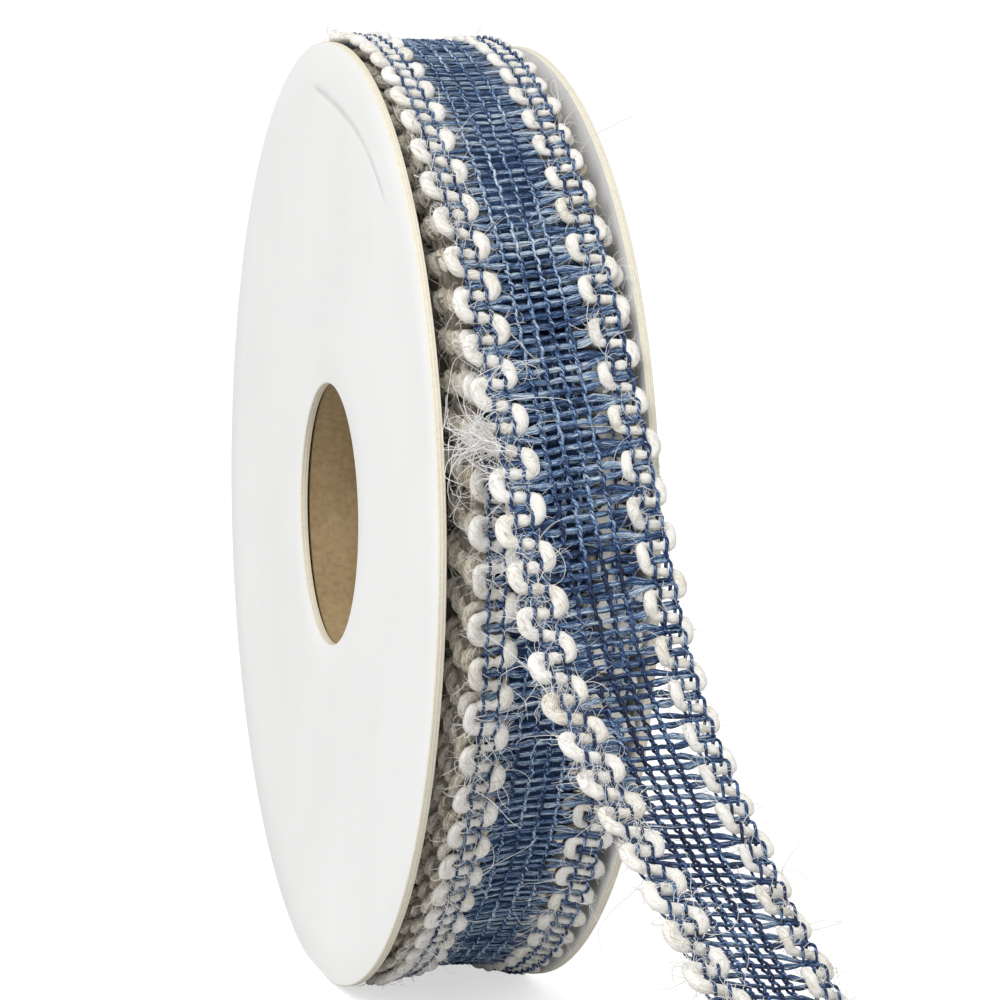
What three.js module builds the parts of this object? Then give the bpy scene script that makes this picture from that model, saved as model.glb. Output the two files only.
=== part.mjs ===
// Hemp ribbon on its card reel, in millimetres, +Z up, the axle along X.
// The ribbon is an open gauze band with a soft yarn snaking along each edge.
import * as THREE from 'three';

// Reel: two thin card flanges glued to a card tube
const flangeRadius = 50;
const flangeThickness = 0.85;
const reelWidth = 21.45;
const boreRadius = 14;
const hubRadius = 21;
const tubeInnerRadius = 14.15;
const tubeOuterRadius = 15.6;
const leftDish = 1.0;
const rightDish = 0.4;
const dishBendRadius = 36;
const dishBendShare = 0.38;
const rightTopLean = 0.5;
const leanStart = 25;
const flangeSteps = 84;
const tubeSteps = 64;
const jointGap = 0.3;

// The reel stands on a short flat pressed into each rim
const flangeStep = (2 * Math.PI) / flangeSteps;
const footHalfAngle = 1.5 * flangeStep;
const footDrop = flangeRadius * Math.cos(footHalfAngle);
const rollFloorGap = 0.15;

// Ribbon: a band with a raised yarn that swings from side to side near each edge
const ribbonHalfWidth = 8.5;
const bandHalfWidth = 7.0;
const sheetThickness = 1.0;
const crownDepth = 0.9;
const yarnPeriod = 4.5;
const yarnCentre = 6.0;
const yarnSwing = 1.85;
const yarnHalfWidth = 0.65;
const yarnHeight = 0.6;
const yarnFootWidth = 1.0;
const stepsPerPeriod = 4;
const ribbonStep = yarnPeriod / stepsPerPeriod;

// Winding: the last turn, from where the free end lifts off, back round the drum
const woundRadius = 50.7;
const liftAngle = THREE.MathUtils.degToRad(27);
const turnDrop = 1.35;
const stepArc = 0.3;
const pressedLength = 6;
const pressFadeLength = 6;
const edgeDepth = 1.1;
const sideRadius = 33;
const sideHalfWidth = 7.8;
const sideWander = 0.45;
const boreHalfWidth = 8.0;

// How far the ribbon's middle line lies from the reel's middle, round the last turn
const windingDrift = [
  { turn: 0.0, offset: 0.6 },
  { turn: 0.06, offset: -0.75 },
  { turn: 0.18, offset: -1.0 },
  { turn: 0.42, offset: 0.3 },
  { turn: 0.66, offset: 0.9 },
  { turn: 0.85, offset: 0.95 },
  { turn: 1.0, offset: 0.95 },
];

// Free end: down from the drum, forward in a slack curve, and flat on the surface
const hangControl = [
  { name: 'knee', x: 3.5, y: -62.2, z: -10.1 },
  { name: 'belly', x: 1.3, y: -55.1, z: -5.9 },
  { name: 'sag', x: 6.8, y: -90.0, z: -29.7 },
];
const sagToLanding = 18;
const landing = { x: 11.0, y: -140 };
const landingRun = 25;
const restLength = 12;
const restSlope = 0.06;
const flattenLength = 15;
const rootGap = 1.0;
const tailRoll = [
  { share: 0.0, degrees: 0 },
  { share: 0.12, degrees: 0 },
  { share: 0.52, degrees: -21 },
  { share: 0.88, degrees: 0 },
  { share: 1.0, degrees: 0 },
];

const paperWhite = new THREE.MeshStandardMaterial({ color: 0xf0efec, roughness: 0.75, metalness: 0 });
const card = new THREE.MeshStandardMaterial({ color: 0xa8926c, roughness: 0.9, metalness: 0 });
const ribbonBlue = new THREE.MeshStandardMaterial({ color: 0x4a6a96, roughness: 0.7, metalness: 0 });

// Smooth value between the rows of a short table
function tableValue(table, key, column, at) {
  let row = 0;
  while (row < table.length - 2 && at > table[row + 1][key]) {
    row += 1;
  }
  const low = table[row];
  const high = table[row + 1];
  const share = THREE.MathUtils.smoothstep(at, low[key], high[key]);
  return THREE.MathUtils.lerp(low[column], high[column], share);
}

// Joins a row of equal sections into one closed skin
function loft(sections, closed) {
  const count = sections[0].length;
  const positions = sections.flat().flatMap((point) => point.toArray());
  const indices = [];
  const spans = closed ? sections.length : sections.length - 1;
  for (let i = 0; i < spans; i += 1) {
    const here = i * count;
    const next = ((i + 1) % sections.length) * count;
    for (let j = 0; j < count; j += 1) {
      const k = (j + 1) % count;
      indices.push(here + j, next + j, next + k);
      indices.push(here + j, next + k, here + k);
    }
  }
  const geometry = new THREE.BufferGeometry();
  geometry.setAttribute('position', new THREE.Float32BufferAttribute(positions, 3));
  geometry.setIndex(indices);
  return geometry;
}

// Closes the two ends of an open loft with the triangles of its first and last outlines
function closeEnds(geometry, outlines) {
  const last = outlines.length - 1;
  const lastStart = last * outlines[0].length;
  const indices = Array.from(geometry.index.array);
  for (const [a, b, c] of THREE.ShapeUtils.triangulateShape(outlines[0], [])) {
    indices.push(a, c, b);
  }
  for (const [a, b, c] of THREE.ShapeUtils.triangulateShape(outlines[last], [])) {
    indices.push(lastStart + a, lastStart + b, lastStart + c);
  }
  geometry.setIndex(indices);
  return geometry;
}

function meshOf(name, geometry, material) {
  geometry.computeVertexNormals();
  const mesh = new THREE.Mesh(geometry, material);
  mesh.name = name;
  return mesh;
}

// Flange: a thin disc, flat round the bore, dished outward to its rim
function dishAt(radius, dish) {
  if (radius <= hubRadius) {
    return 0;
  }
  return radius < flangeRadius ? dish * dishBendShare : dish;
}

function makeFlange(name, side, dish, topLean) {
  const hubFace = reelWidth / 2 - dish;
  const radii = [boreRadius, hubRadius, dishBendRadius, flangeRadius];
  const outer = radii.map((radius) => new THREE.Vector2(radius, hubFace + dishAt(radius, dish)));
  const inner = outer.map((point) => new THREE.Vector2(point.x, point.y - flangeThickness));
  const profile = [...inner, ...outer.reverse(), inner[0]];
  const geometry = new THREE.LatheGeometry(profile, flangeSteps, flangeStep / 2);
  geometry.rotateZ(-Math.PI / 2);
  if (side < 0) {
    geometry.rotateZ(Math.PI);
  }
  const points = geometry.attributes.position;
  for (let i = 0; i < points.count; i += 1) {
    const z = points.getZ(i);
    const lean = topLean * Math.max(0, (z - leanStart) / (flangeRadius - leanStart)) ** 2;
    points.setX(i, points.getX(i) - side * lean);
    points.setZ(i, Math.max(z, -footDrop));
  }
  return meshOf(name, geometry, paperWhite);
}

// Tube between the flanges
function makeTube() {
  const left = -(reelWidth / 2 - leftDish - flangeThickness - jointGap);
  const right = reelWidth / 2 - rightDish - flangeThickness - jointGap;
  const profile = [
    new THREE.Vector2(tubeInnerRadius, left),
    new THREE.Vector2(tubeOuterRadius, left),
    new THREE.Vector2(tubeOuterRadius, right),
    new THREE.Vector2(tubeInnerRadius, right),
    new THREE.Vector2(tubeInnerRadius, left),
  ];
  const geometry = new THREE.LatheGeometry(profile, tubeSteps);
  geometry.rotateZ(-Math.PI / 2);
  return meshOf('core_tube', geometry, card);
}

// Height of the band across its width: hollow in the middle while it is wound
function bandHeight(across, hollow) {
  return -hollow * crownDepth * (1 - (across / ribbonHalfWidth) ** 2);
}

// Upper outline of the ribbon at one step, from its left edge to its right edge
function upperOutline(step, relief, hollow) {
  const swing = -yarnSwing * Math.cos((2 * Math.PI * (step - 1)) / stepsPerPeriod);
  const crestLeft = -yarnCentre + swing;
  const crestRight = yarnCentre + swing;
  const edgeLeft = Math.min(-bandHalfWidth, crestLeft - yarnHalfWidth);
  const edgeRight = Math.max(bandHalfWidth, crestRight + yarnHalfWidth);
  const onBand = (across, lift) => ({ across, height: bandHeight(across, hollow) + lift });
  return [
    onBand(edgeLeft, 0),
    onBand(crestLeft, yarnHeight * relief),
    onBand(crestLeft + yarnFootWidth, 0),
    onBand(0, 0),
    onBand(crestRight - yarnFootWidth, 0),
    onBand(crestRight, yarnHeight * relief),
    onBand(edgeRight, 0),
  ];
}

// Roll: the wound ribbon as one body, its last turn a spiral with a step under the free end
function makeRoll() {
  const turnLength = 2 * Math.PI * (woundRadius - turnDrop / 2);
  const steps = Math.round(turnLength / ribbonStep);
  const turnAngle = 2 * Math.PI - stepArc / woundRadius;
  const boreWall = tubeOuterRadius + jointGap;
  const lowest = -(footDrop - rollFloorGap);
  const sections = [];
  for (let i = steps; i >= 0; i -= 1) {
    const turn = i / steps;
    const angle = liftAngle + turn * turnAngle;
    const radius = woundRadius - turnDrop * turn;
    const middle = tableValue(windingDrift, 'turn', 'offset', turn);
    const fromRoot = (1 - turn) * turnLength;
    const relief = THREE.MathUtils.smoothstep(fromRoot, pressedLength, pressedLength + pressFadeLength);
    const outline = upperOutline(-i, relief, 1);
    const top = outline.map((point) => ({ x: middle + point.across, radius: radius + point.height }));
    const wander = sideWander * Math.sin(5 * angle) * Math.cos(11 * angle + 1);
    const points = [
      { x: -boreHalfWidth, radius: boreWall },
      { x: -sideHalfWidth + wander, radius: sideRadius },
      { x: top[0].x + yarnHalfWidth / 2, radius: radius - edgeDepth },
      ...top,
      { x: top[top.length - 1].x - yarnHalfWidth / 2, radius: radius - edgeDepth },
      { x: sideHalfWidth + wander, radius: sideRadius },
      { x: boreHalfWidth, radius: boreWall },
    ];
    sections.push(points.map((point) => {
      const y = -point.radius * Math.cos(angle);
      const z = Math.max(point.radius * Math.sin(angle), lowest);
      return new THREE.Vector3(point.x, y, z);
    }));
  }
  return meshOf('ribbon_roll', loft(sections, true), ribbonBlue);
}

// Middle line of the free end
function makeTailPath() {
  const floorLine = sheetThickness - footDrop;
  const root = new THREE.Vector3(
    windingDrift[0].offset,
    -woundRadius * Math.cos(liftAngle),
    woundRadius * Math.sin(liftAngle),
  );
  const [knee, belly, sag] = hangControl.map((point) => new THREE.Vector3(point.x, point.y, point.z));
  const sagHeading = sag.clone().sub(belly).normalize();
  const swoop = sag.clone().addScaledVector(sagHeading, sagToLanding);
  const touch = new THREE.Vector3(landing.x, landing.y, floorLine);
  const restHeading = new THREE.Vector3(restSlope, -1, 0).normalize();
  const approach = touch.clone().addScaledVector(restHeading, -landingRun);
  const end = touch.clone().addScaledVector(restHeading, restLength);
  const path = new THREE.CurvePath();
  path.add(new THREE.CubicBezierCurve3(root, knee, belly, sag));
  path.add(new THREE.CubicBezierCurve3(sag, swoop, approach, touch));
  path.add(new THREE.LineCurve3(touch, end));
  return path;
}

// Free end: a slack sheet with the yarn raised on its upper face
function makeTail() {
  const path = makeTailPath();
  const length = path.getLength();
  const steps = Math.round((length - rootGap) / ribbonStep);
  const sections = [];
  const outlines = [];
  for (let i = 0; i <= steps; i += 1) {
    const run = rootGap + (i / steps) * (length - rootGap);
    const share = run / length;
    const centre = path.getPoint(share);
    const heading = tangentOf(path, share);
    const roll = THREE.MathUtils.degToRad(tableValue(tailRoll, 'share', 'degrees', share));
    const across = new THREE.Vector3(1, 0, 0);
    across.addScaledVector(heading, -across.dot(heading)).normalize();
    across.applyAxisAngle(heading, roll);
    const outward = new THREE.Vector3().crossVectors(heading, across);
    const hollow = 1 - THREE.MathUtils.smoothstep(run, 0, flattenLength);
    const top = upperOutline(i, 1, hollow);
    const under = [6, 4, 3, 2, 0].map((column) => underside(top[column], hollow));
    const outline = [...top, ...under];
    outlines.push(outline.map((point) => new THREE.Vector2(point.across, point.height)));
    sections.push(outline.map((point) => centre.clone()
      .addScaledVector(across, point.across)
      .addScaledVector(outward, point.height)));
  }
  return meshOf('ribbon_tail', closeEnds(loft(sections, false), outlines), ribbonBlue);
}

function underside(point, hollow) {
  return { across: point.across, height: bandHeight(point.across, hollow) - sheetThickness };
}

function tangentOf(path, share) {
  const nearby = 0.002;
  const before = path.getPoint(Math.max(0, share - nearby));
  const after = path.getPoint(Math.min(1, share + nearby));
  return after.sub(before).normalize();
}

const ribbonReel = new THREE.Group();
ribbonReel.add(makeFlange('flange_left', -1, leftDish, 0));
ribbonReel.add(makeFlange('flange_right', 1, rightDish, rightTopLean));
ribbonReel.add(makeTube());
ribbonReel.add(makeRoll());
ribbonReel.add(makeTail());

// The origin is under the middle of the whole part, on the surface that it stands on
const box = new THREE.Box3().setFromObject(ribbonReel);
const centre = box.getCenter(new THREE.Vector3());
ribbonReel.position.set(-centre.x, -centre.y, -box.min.z);
ribbonReel.updateMatrixWorld(true);

export default ribbonReel;
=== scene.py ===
# Hemp ribbon on its card reel: an open blue gauze with a soft ivory yarn snaking along each edge.
# Sizes are in millimetres until a mesh is made. The reel's own frame has its axle at the origin.
import math
import bmesh
import bpy
import numpy as np
from mathutils import Matrix, Vector


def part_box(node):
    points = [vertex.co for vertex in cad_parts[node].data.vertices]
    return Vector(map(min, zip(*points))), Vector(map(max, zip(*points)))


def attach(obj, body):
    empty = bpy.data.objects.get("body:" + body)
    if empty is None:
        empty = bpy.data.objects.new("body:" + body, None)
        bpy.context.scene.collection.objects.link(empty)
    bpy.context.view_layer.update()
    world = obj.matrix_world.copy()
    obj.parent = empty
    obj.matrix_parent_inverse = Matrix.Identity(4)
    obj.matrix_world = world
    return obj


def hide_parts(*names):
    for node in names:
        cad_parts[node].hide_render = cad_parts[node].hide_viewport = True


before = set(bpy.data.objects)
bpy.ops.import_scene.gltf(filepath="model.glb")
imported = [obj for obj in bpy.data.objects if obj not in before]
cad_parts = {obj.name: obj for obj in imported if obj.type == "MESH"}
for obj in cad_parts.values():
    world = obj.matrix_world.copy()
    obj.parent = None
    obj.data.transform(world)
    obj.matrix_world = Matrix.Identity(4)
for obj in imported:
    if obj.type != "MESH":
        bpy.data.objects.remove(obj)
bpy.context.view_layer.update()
scene = bpy.context.scene
mm = 0.001

reel = {
    "flangeRadius": 50.0,
    "flangeThickness": 0.85,
    "width": 21.45,
    "boreRadius": 14.0,
    "hubRadius": 21.0,
    "leftDish": 1.0,
    "rightDish": 0.4,
    "dishPower": 1.467,
    "rightTopLean": 0.5,
    "leanStart": 25.0,
    "tubeInner": 14.15,
    "tubeOuter": 15.6,
    "tubeGap": 0.3,
    "rimSides": 84,
    "footSides": 3,  # the solid's rims stand on a flat as long as three of their sides
}
footDrop = reel["flangeRadius"] * math.cos(reel["footSides"] * math.pi / reel["rimSides"])

leftLow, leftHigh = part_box("flange_left")
rightLow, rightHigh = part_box("flange_right")
axle = Vector((
    (leftLow.x + rightHigh.x) / 2,
    (leftLow.y + leftHigh.y) / 2,
    leftLow.z + footDrop * mm,
))


def addObject(name, data):
    thing = bpy.data.objects.new(name, data)
    scene.collection.objects.link(thing)
    return thing


def addAttribute(mesh, label, values):
    values = np.asarray(values, dtype=np.float32)
    kind, field = ("FLOAT_VECTOR", "vector") if values.ndim == 2 else ("FLOAT", "value")
    mesh.attributes.new(label, kind, "POINT").data.foreach_set(field, values.ravel())


# Camera, at the photograph's angle
view = {
    "fromAxle": (-78.70, -306.58, 33.98),
    "yaw": 16.04,
    "pitch": -5.88,
    "roll": 0.53,
    "lens": 106.0,
    "sensor": 36.0,
}


def placeCamera():
    yaw, pitch, roll = (math.radians(view[key]) for key in ("yaw", "pitch", "roll"))
    ahead = Vector((math.sin(yaw) * math.cos(pitch), math.cos(yaw) * math.cos(pitch), math.sin(pitch)))
    level = Vector((math.cos(yaw), -math.sin(yaw), 0))
    upright = level.cross(ahead)
    right = math.cos(roll) * level + math.sin(roll) * upright
    up = math.cos(roll) * upright - math.sin(roll) * level
    data = bpy.data.cameras.new("camera")
    data.lens = view["lens"]
    data.sensor_width = view["sensor"]
    data.clip_start = 0.01
    camera = addObject("camera", data)
    turn = Matrix((right, up, -ahead)).transposed().to_4x4()
    camera.matrix_world = Matrix.Translation(axle + Vector(view["fromAxle"]) * mm) @ turn
    scene.camera = camera


placeCamera()
print("camera in place")


# A node's output, which takes part in ordinary sums
class Wire:
    def __init__(self, tree, socket):
        self.tree = tree
        self.socket = socket

    def __add__(self, other):
        return maths("ADD", self, other)

    def __radd__(self, other):
        return maths("ADD", other, self)

    def __sub__(self, other):
        return maths("SUBTRACT", self, other)

    def __rsub__(self, other):
        return maths("SUBTRACT", other, self)

    def __mul__(self, other):
        return maths("MULTIPLY", self, other)

    def __rmul__(self, other):
        return maths("MULTIPLY", other, self)

    def __truediv__(self, other):
        return maths("DIVIDE", self, other)


def plug(value, socket):
    if isinstance(value, Wire):
        value.tree.links.new(value.socket, socket)
    else:
        socket.default_value = value


# Gives one wire, or a list of them where output is a tuple
def addNode(tree, kind, inputs=None, output=0, **settings):
    node = tree.nodes.new(kind)
    for key, value in settings.items():
        setattr(node, key, value)
    for key, value in (inputs or {}).items():
        plug(value, node.inputs[key])
    if isinstance(output, tuple):
        return [Wire(tree, node.outputs[key]) for key in output]
    return Wire(tree, node.outputs[output])


def maths(operation, *values):
    tree = next(value.tree for value in values if isinstance(value, Wire))
    return addNode(tree, "ShaderNodeMath", dict(enumerate(values)), operation=operation)


def vectorMaths(operation, *values):
    return addNode(values[0].tree, "ShaderNodeVectorMath", dict(enumerate(values)), operation=operation)


def scaled(vector, amount):
    inputs = {"Vector": vector, "Scale": amount}
    return addNode(vector.tree, "ShaderNodeVectorMath", inputs, operation="SCALE")


# The place so far from start along a direction
def stepped(start, direction, distance):
    return vectorMaths("ADD", start, scaled(direction, distance))


# A noise or chance vector, moved so that it goes both ways from nothing
def centred(vector):
    return vectorMaths("SUBTRACT", vector, (0.5, 0.5, 0.5))


def smoothStep(value, low, high, start=0.0, end=1.0):
    inputs = {0: value, 1: low, 2: high, 3: start, 4: end}
    return addNode(value.tree, "ShaderNodeMapRange", inputs, interpolation_type="SMOOTHSTEP")


# Rises from 0 to 1 over one stretch of the value and falls again over another
def band(value, rise, fall):
    return smoothStep(value, *rise) - smoothStep(value, *fall)


def hump(value, centre, width):
    gap = (value - centre) * (1 / width)
    return maths("EXPONENT", gap * gap * -1.0)


def combine(tree, x, y, z):
    return addNode(tree, "ShaderNodeCombineXYZ", {0: x, 1: y, 2: z})


def split(vector):
    return addNode(vector.tree, "ShaderNodeSeparateXYZ", {0: vector}, output=(0, 1, 2))


def noise(vector, scale=1.0, detail=0.0, output=0):
    inputs = {"Vector": vector, "Scale": scale, "Detail": detail}
    return addNode(vector.tree, "ShaderNodeTexNoise", inputs, output=output)


# Even chance from 0 to 1 for each number
def chance(number, seed, output=0):
    vector = combine(number.tree, number, seed, 0.5)
    return addNode(number.tree, "ShaderNodeTexWhiteNoise", {"Vector": vector}, output=output)


socketKinds = {"Guide": "Object", "Surface": "Object", "Material": "Material"}


def addSocket(tree, label, kind, way="INPUT"):
    return tree.interface.new_socket(label, in_out=way, socket_type="NodeSocket" + kind)


def givenTo(tree):
    source = tree.nodes.new("NodeGroupInput")
    return {socket.name: Wire(tree, socket) for socket in source.outputs if socket.name}


# Each input comes with the value that it keeps unless a piece is given another
def startTree(name, inputs):
    tree = bpy.data.node_groups.new(name, "GeometryNodeTree")
    addSocket(tree, "Geometry", "Geometry")
    addSocket(tree, "Geometry", "Geometry", "OUTPUT")
    for label, value in inputs.items():
        kind = socketKinds.get(label, "Int" if isinstance(value, int) else "Float")
        socket = addSocket(tree, label, kind)
        if value is not None:
            socket.default_value = value
    return tree, givenTo(tree)


def endTree(tree, geometry, material=None):
    if material:
        geometry = addNode(tree, "GeometryNodeRealizeInstances", {"Geometry": geometry})
        geometry = addNode(tree, "GeometryNodeSetMaterial", {"Geometry": geometry, "Material": material})
    target = tree.nodes.new("NodeGroupOutput")
    plug(geometry, target.inputs[0])
    return tree


def store(geometry, label, value, kind="FLOAT"):
    inputs = {"Geometry": geometry, "Name": label, "Value": value}
    return addNode(geometry.tree, "GeometryNodeStoreNamedAttribute", inputs, data_type=kind, domain="POINT")


def stored(tree, label, kind="FLOAT"):
    return addNode(tree, "GeometryNodeInputNamedAttribute", {"Name": label}, data_type=kind)


def pointPlace(tree):
    return addNode(tree, "GeometryNodeInputPosition")


def setPlace(geometry, place, label="Position"):
    return addNode(geometry.tree, "GeometryNodeSetPosition", {"Geometry": geometry, label: place})


def objectShape(thing):
    return addNode(thing.tree, "GeometryNodeObjectInfo", {"Object": thing}, output="Geometry")


def dividedLine(tree, start, end, count):
    line = addNode(tree, "GeometryNodeCurvePrimitiveLine", {"Start": start, "End": end})
    return addNode(tree, "GeometryNodeResampleCurve", {"Curve": line, "Count": count})


def copyOnto(points, curve):
    copies = addNode(points.tree, "GeometryNodeInstanceOnPoints", {"Points": points, "Instance": curve})
    return addNode(points.tree, "GeometryNodeRealizeInstances", {"Geometry": copies})


def join(tree, parts):
    node = tree.nodes.new("GeometryNodeJoinGeometry")
    for part in parts:
        plug(part, node.inputs[0])
    return Wire(tree, node.outputs[0])


# Runs a tree and keeps its result as a plain mesh
def growPiece(name, tree, values):
    piece = addObject(name, bpy.data.meshes.new(name))
    modifier = piece.modifiers.new("shape", "NODES")
    modifier.node_group = tree
    for item in tree.interface.items_tree:
        if item.in_out == "INPUT" and item.name in values:
            modifier[item.identifier] = values[item.name]
    depsgraph = bpy.context.evaluated_depsgraph_get()
    mesh = bpy.data.meshes.new_from_object(piece.evaluated_get(depsgraph), depsgraph=depsgraph)
    piece.modifiers.clear()
    piece.data = mesh
    mesh.name = name
    mesh.shade_smooth()
    triangles = sum(len(face.vertices) - 2 for face in mesh.polygons)
    print(name, triangles, "triangles")
    return piece


# Middle line of the whole ribbon: the turns on the drum, then the free end. Run is 0 where it lifts off.
winding = {
    "radius": 50.7,
    "liftAngle": 27.0,
    "turnDrop": 1.35,
    "crown": 0.9,
    "halfWidth": 8.5,
    "turnsBelow": 6,
    "drift": [
        (0.0, 0.6), (0.06, -0.75), (0.18, -1.0), (0.42, 0.3), (0.66, 0.9), (0.85, 0.95), (1.0, 0.95),
        (1.15, 0.3), (1.4, -0.3), (1.8, 0.35), (2.3, -0.25), (2.8, 0.3), (3.3, -0.2), (4.0, 0.2), (8.0, 0.0),
    ],
    "driftSmoothing": 4.0,
    "hollow": [
        (0.0, 1.0), (0.08, 1.0), (0.15, 0.35), (0.27, 0.35), (0.35, 1.0), (0.6, 1.0), (0.68, 1.8),
        (0.85, 1.8), (1.0, 1.0), (8.0, 1.0),
    ],
    "guideStep": 0.5,
    "floorGap": 0.12,
}
freeEnd = {
    "knee": (3.5, -62.2, -10.1),
    "belly": (1.3, -55.1, -5.9),
    "sag": (6.8, -90.0, -29.7),
    "sagToLanding": 18.0,
    "landing": (11.0, -140.0),
    "landingRun": 25.0,
    "restLength": 12.0,
    "restSlope": 0.06,
    "restHeight": 0.72,
    "flattenLength": 15.0,
    "roll": [(0.0, 0.0), (0.12, 0.0), (0.52, -21.0), (0.88, 0.0), (1.0, 0.0)],
    "beyond": 5.0,
    "curveSteps": 400,
    "restSteps": 40,
}
turnLength = 2 * math.pi * (winding["radius"] - winding["turnDrop"] / 2)
firstRun = -turnLength * (1 + winding["turnsBelow"])


def easeTable(at, table):
    keys, values = (np.array(column) for column in zip(*table))
    row = np.clip(np.searchsorted(keys, at, side="right") - 1, 0, len(keys) - 2)
    share = np.clip((at - keys[row]) / (keys[row + 1] - keys[row]), 0, 1)
    return values[row] + (values[row + 1] - values[row]) * share * share * (3 - 2 * share)


def bezier(corners, count):
    t = np.linspace(0, 1, count)[:, None]
    a, b, c, d = (np.array(corner) for corner in corners)
    return (1 - t) ** 3 * a + 3 * (1 - t) ** 2 * t * b + 3 * (1 - t) * t ** 2 * c + t ** 3 * d


def freeEndLine():
    lift = math.radians(winding["liftAngle"])
    root = (winding["drift"][0][1], -winding["radius"] * math.cos(lift), winding["radius"] * math.sin(lift))
    knee, belly, sag = (np.array(freeEnd[key]) for key in ("knee", "belly", "sag"))
    heading = (sag - belly) / np.linalg.norm(sag - belly)
    touch = np.array((*freeEnd["landing"], freeEnd["restHeight"] - footDrop))
    rest = np.array((freeEnd["restSlope"], -1, 0)) / math.hypot(1, freeEnd["restSlope"])
    end = touch + rest * (freeEnd["restLength"] + freeEnd["beyond"])
    falling = (sag, sag + heading * freeEnd["sagToLanding"], touch - rest * freeEnd["landingRun"], touch)
    lines = [
        bezier((root, knee, belly, sag), freeEnd["curveSteps"]),
        bezier(falling, freeEnd["curveSteps"]),
        bezier((touch, touch + (end - touch) / 3, touch + (end - touch) * 2 / 3, end), freeEnd["restSteps"]),
    ]
    line = np.vstack([lines[0], lines[1][1:], lines[2][1:]])
    runs = np.concatenate([[0], np.cumsum(np.linalg.norm(np.diff(line, axis=0), axis=1))])
    return line, runs


def driftAt(turn):
    return np.interp(turn, *zip(*winding["drift"]))


# How far the gauze sags between its edges, as a share of the crown
def hollowAt(turn):
    return np.interp(turn, *zip(*winding["hollow"]))


def makeGuide():
    line, lineRuns = freeEndLine()
    tailLength = lineRuns[-1] - freeEnd["beyond"]
    step = winding["guideStep"]
    runs = np.arange(firstRun, lineRuns[-1], step)
    turn = np.clip(-runs / turnLength, 0, None)
    angle = math.radians(winding["liftAngle"]) + 2 * math.pi * turn
    radius = winding["radius"] - winding["turnDrop"] * turn
    drum = np.stack([driftAt(turn), -radius * np.cos(angle), radius * np.sin(angle)], axis=1)
    tail = np.stack([np.interp(runs, lineRuns, line[:, axis]) for axis in range(3)], axis=1)
    centre = np.where((runs < 0)[:, None], drum, tail)
    reach = int(3 * winding["driftSmoothing"] / step)
    kernel = np.exp(-0.5 * (np.arange(-reach, reach + 1) * step / winding["driftSmoothing"]) ** 2)
    padded = np.pad(centre[:, 0], reach, mode="reflect", reflect_type="odd")
    centre[:, 0] = np.convolve(padded, kernel / kernel.sum(), mode="valid")
    heading = np.gradient(centre, axis=0)
    heading /= np.linalg.norm(heading, axis=1)[:, None]
    across = np.array((1.0, 0, 0)) - heading[:, :1] * heading
    across /= np.linalg.norm(across, axis=1)[:, None]
    roll = np.radians(easeTable(np.clip(runs / tailLength, 0, 1), freeEnd["roll"]))[:, None]
    across = across * np.cos(roll) + np.cross(heading, across) * np.sin(roll)
    fade = np.clip(runs / freeEnd["flattenLength"], 0, 1)
    mesh = bpy.data.meshes.new("ribbonGuide")
    mesh.from_pydata((centre * mm + np.array(axle)).tolist(), [], [])
    addAttribute(mesh, "across", across)
    addAttribute(mesh, "outward", np.cross(heading, across))
    addAttribute(mesh, "hollow", hollowAt(turn) * (1 - fade * fade * (3 - 2 * fade)))
    return addObject("ribbonGuide", mesh), tailLength


ribbonGuide, tailLength = makeGuide()
print("ribbon's middle line:", round(tailLength, 1), "mm of free end")


# Lays flat cloth, drawn as run, across and height in millimetres, along the ribbon's middle line
def makeLayGroup():
    tree, given = startTree("Lay on ribbon", {"Guide": None})
    line = objectShape(given["Guide"])
    run, across, height = split(pointPlace(tree))
    place = (run - firstRun) / winding["guideStep"]
    low = maths("FLOOR", place)
    share = place - low

    def sampled(value, kind="FLOAT_VECTOR"):
        inputs = {"Geometry": line, "Value": value}
        here, ahead = (
            addNode(tree, "GeometryNodeSampleIndex", {**inputs, "Index": index}, data_type=kind, clamp=True)
            for index in (low, low + 1.0)
        )
        if kind == "FLOAT":
            return here + (ahead - here) * share
        return stepped(here, vectorMaths("SUBTRACT", ahead, here), share)

    centre = sampled(pointPlace(tree))
    side, outward = (sampled(stored(tree, label, "FLOAT_VECTOR")) for label in ("across", "outward"))
    hollow = sampled(stored(tree, "hollow"), "FLOAT")
    wide = across / winding["halfWidth"]
    lift = height - hollow * winding["crown"] * (1.0 - wide * wide)
    x, y, z = split(stepped(stepped(centre, side, across * mm), outward, lift * mm))
    laid = combine(tree, x, y, maths("MAXIMUM", z, winding["floorGap"] * mm))
    return endTree(tree, setPlace(given["Geometry"], laid))


layOnRibbon = makeLayGroup()


def layDown(geometry, guide):
    inputs = {"Geometry": geometry, "Guide": guide}
    return addNode(geometry.tree, "GeometryNodeGroup", inputs, node_tree=layOnRibbon)


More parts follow.
